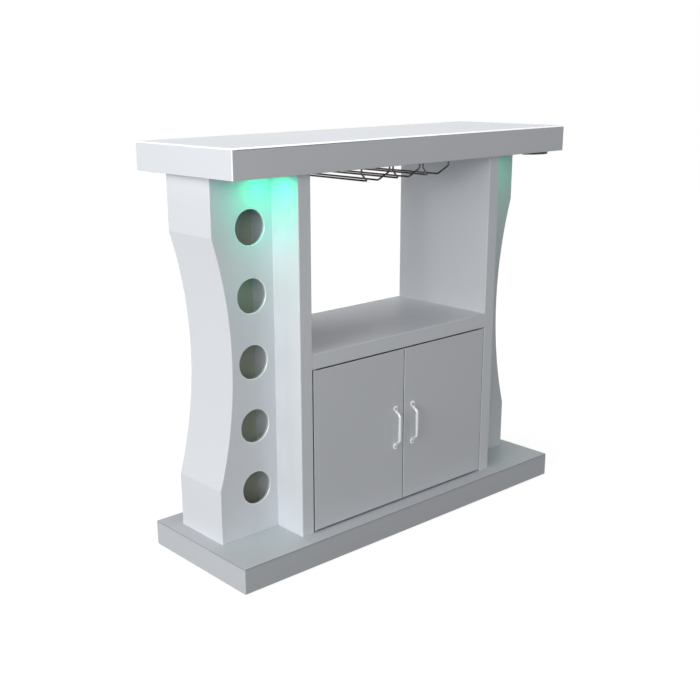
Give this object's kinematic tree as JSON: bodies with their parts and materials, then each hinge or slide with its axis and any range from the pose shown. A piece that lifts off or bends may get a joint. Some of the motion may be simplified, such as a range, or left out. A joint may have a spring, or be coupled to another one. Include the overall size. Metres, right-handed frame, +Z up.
{
  "type": "bar counter with shelves",
  "caption": "White lacquered bar counter: a central cabinet with hinged doors, an open bay with a glass rack, and waisted bottle columns between a thick base and a thick countertop.",
  "frame": {"origin": "middle of the footprint, on the floor under the glides", "axes": "+X along the counter, to the right for someone who faces the doors; +Y from the bartender's side, where the doors are, to the guests' side; +Z up"},
  "size_m": [1.215, 0.402, 1.1],
  "materials": {
    "white_lacquer": "glossy white lacquer on board",
    "raw_board": "raw board, unseen",
    "handle_metal": "bright cast metal, polished",
    "rack_chrome": "bright chrome wire",
    "steel_hardware": "plain zinc-plated steel",
    "white_plastic": "fine satin plastic",
    "bush_plastic": "plain nylon",
    "glide_plastic": "hard dull plastic",
    "case_plastic": "fine dull plastic",
    "lamp_lens": "frosted lens, lit green"
  },
  "bodies": {
    "carcass": {"base_front_rail": "white_lacquer", "base_back_rail": "white_lacquer", "base_left_rail": "white_lacquer", "base_right_rail": "white_lacquer", "base_top_left": "white_lacquer", "base_top_middle": "white_lacquer", "base_top_right": "white_lacquer", "base_bearers": "raw_board", "base_corner_blocks": "raw_board", "floor_glides": "glide_plastic", "side_outer_left": "white_lacquer", "side_inner_left": "white_lacquer", "side_posts_left": "white_lacquer", "side_outer_right": "white_lacquer", "side_inner_right": "white_lacquer", "side_posts_right": "white_lacquer", "shelf_top": "white_lacquer", "shelf_bottom": "white_lacquer", "shelf_front_lipping": "white_lacquer", "shelf_back_lipping": "white_lacquer", "shelf_dowels": "raw_board", "cabinet_back": "white_lacquer", "hinge_pins": "steel_hardware", "magnet_catch": "white_plastic", "hole_panel_left": "white_lacquer", "column_partition_left": "white_lacquer", "column_back_left": "white_lacquer", "column_end_left": "white_lacquer", "hole_panel_right": "white_lacquer", "column_partition_right": "white_lacquer", "column_back_right": "white_lacquer", "column_end_right": "white_lacquer", "column_cleats": "raw_board", "countertop_board": "white_lacquer", "countertop_front": "white_lacquer", "countertop_back": "white_lacquer", "countertop_left": "white_lacquer", "countertop_right": "white_lacquer", "countertop_underside": "white_lacquer", "top_battens": "raw_board", "carcass_screws": "steel_hardware", "lamp_housings": "white_plastic", "lamp_lenses": "lamp_lens", "controller_case": "case_plastic", "rack_bars": "rack_chrome", "rack_wires_left": "rack_chrome", "rack_wires_middle": "rack_chrome", "rack_wires_right": "rack_chrome", "rack_screws": "steel_hardware"},
    "left_door": {"door_left": "white_lacquer", "handle_left": "handle_metal", "handle_screws_left": "steel_hardware", "hinge_bushes_left": "bush_plastic", "strike_left": "steel_hardware"},
    "right_door": {"door_right": "white_lacquer", "handle_right": "handle_metal", "handle_screws_right": "steel_hardware", "hinge_bushes_right": "bush_plastic", "strike_right": "steel_hardware"}
  },
  "joints": [
    {"name": "left_door_hinge", "type": "hinge", "parent": "carcass", "child": "left_door", "pos_m": [-0.325, -0.145, 0.3], "axis": [0, 0, -1], "range_deg": [0, 100]},
    {"name": "right_door_hinge", "type": "hinge", "parent": "carcass", "child": "right_door", "pos_m": [0.325, -0.145, 0.3], "axis": [0, 0, 1], "range_deg": [0, 100]}
  ]
}
